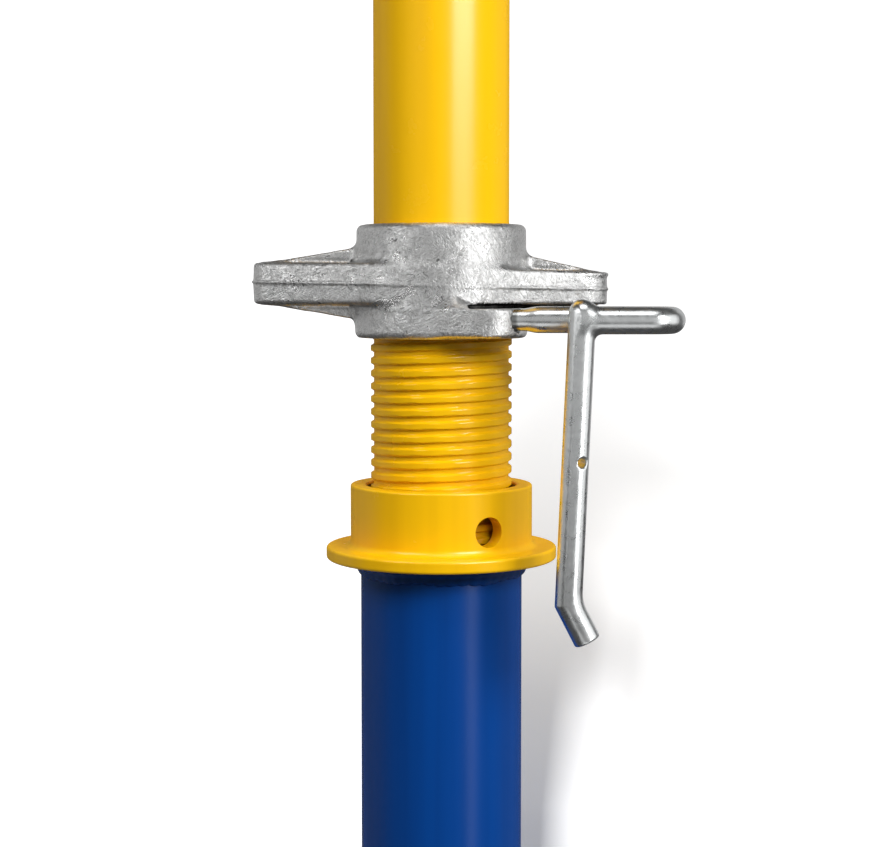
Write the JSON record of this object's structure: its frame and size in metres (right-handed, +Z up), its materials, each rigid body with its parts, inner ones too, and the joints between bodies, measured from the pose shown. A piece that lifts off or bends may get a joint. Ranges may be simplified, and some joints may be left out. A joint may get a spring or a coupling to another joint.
{
  "type": "adjustable steel prop",
  "caption": "Telescopic steel shoring prop: outer tube with flanged collar, threaded inner tube, cast wing nut with a swinging bar handle, and square end plates.",
  "frame": {"origin": "middle of the base plate's underside, on the tubes' axis", "axes": "+Z up along the tubes, -Y towards the handle's side, +X towards the handle's bend"},
  "size_m": [0.1961, 0.1285, 0.8002],
  "materials": {
    "yellow_paint": "glossy powder coat",
    "blue_paint": "glossy powder coat",
    "cast_nut": "hot-dip galvanised casting",
    "galvanised_bar": "galvanised round bar"
  },
  "bodies": {
    "outer": {"base_plate": "blue_paint", "base_weld": "blue_paint", "outer_tube": "blue_paint", "collar_weld": "blue_paint", "guide_collar": "yellow_paint"},
    "inner": {"inner_tube": "yellow_paint", "stop_ring": "yellow_paint", "stop_ring_weld": "yellow_paint", "head_weld": "yellow_paint", "head_plate": "yellow_paint"},
    "nut": {"wing_nut": "cast_nut", "handle_keeper_pin": "galvanised_bar"},
    "handle": {"handle": "galvanised_bar"}
  },
  "joints": [
    {"name": "nut_spin", "type": "hinge", "parent": "outer", "child": "nut", "pos_m": [0, 0, 0.576], "axis": [0, 0, -1], "range_deg": [0, 18000]},
    {"name": "tube_extension", "type": "slide", "parent": "outer", "child": "inner", "axis": [0, 0, 1], "range_m": [0, 0.3]},
    {"name": "handle_swing", "type": "hinge", "parent": "nut", "child": "handle", "pos_m": [0.025, -0.0405, 0.559], "axis": [1, 0, 0], "range_deg": [-133, 18]}
  ],
  "couplings": [
    {"joint": "tube_extension", "follows": "nut_spin", "m_per_rad": 0.00095493}
  ]
}
